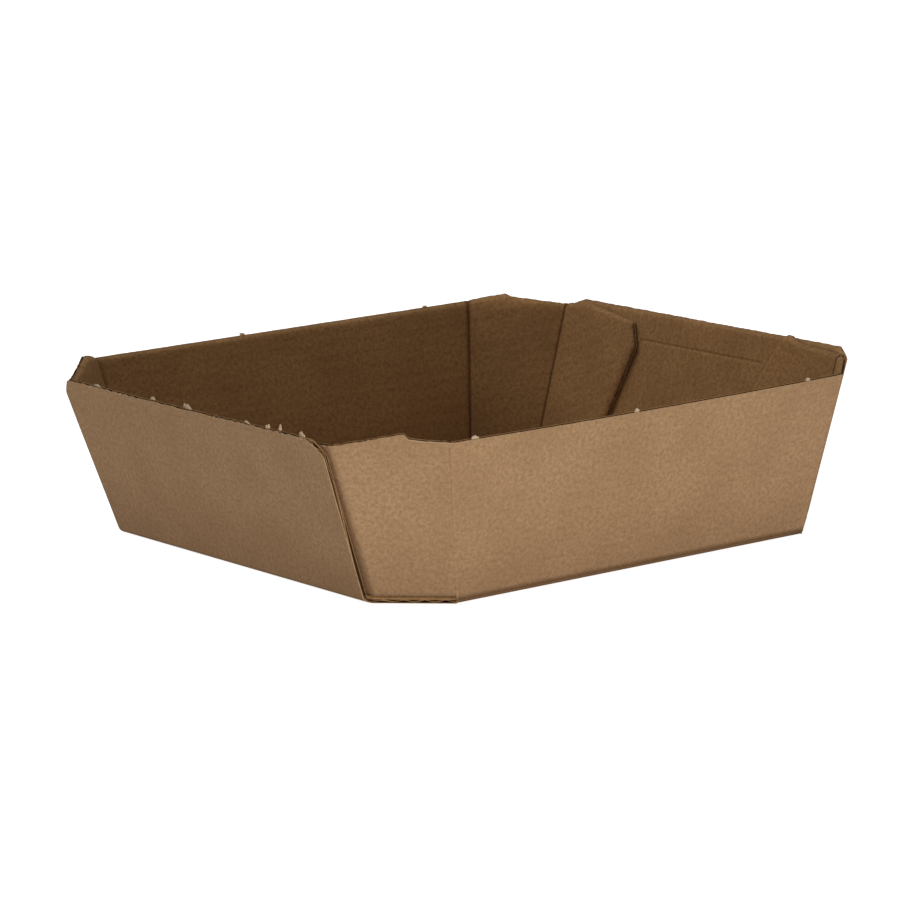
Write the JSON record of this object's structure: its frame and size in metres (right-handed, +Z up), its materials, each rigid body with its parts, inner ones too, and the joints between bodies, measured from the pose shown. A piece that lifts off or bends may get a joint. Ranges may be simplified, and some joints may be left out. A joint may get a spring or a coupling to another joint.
{
  "type": "cardboard tray box",
  "caption": "Open corrugated cardboard tray with leaning walls and diagonal glued corner panels, folded from one blank to hold loose goods.",
  "frame": {"origin": "centre of the underside of the base", "axes": "+X along the flutes of the base, towards a short wall; +Y towards a long wall; +Z up out of the open top"},
  "size_m": [0.2832, 0.263, 0.0726],
  "materials": {
    "kraft_board": "brown kraft corrugated board, matte",
    "hot_melt": "cream hot-melt glue"
  },
  "bodies": {
    "root": {"folded_blank": "kraft_board", "tab_glue": "hot_melt"}
  },
  "joints": []
}
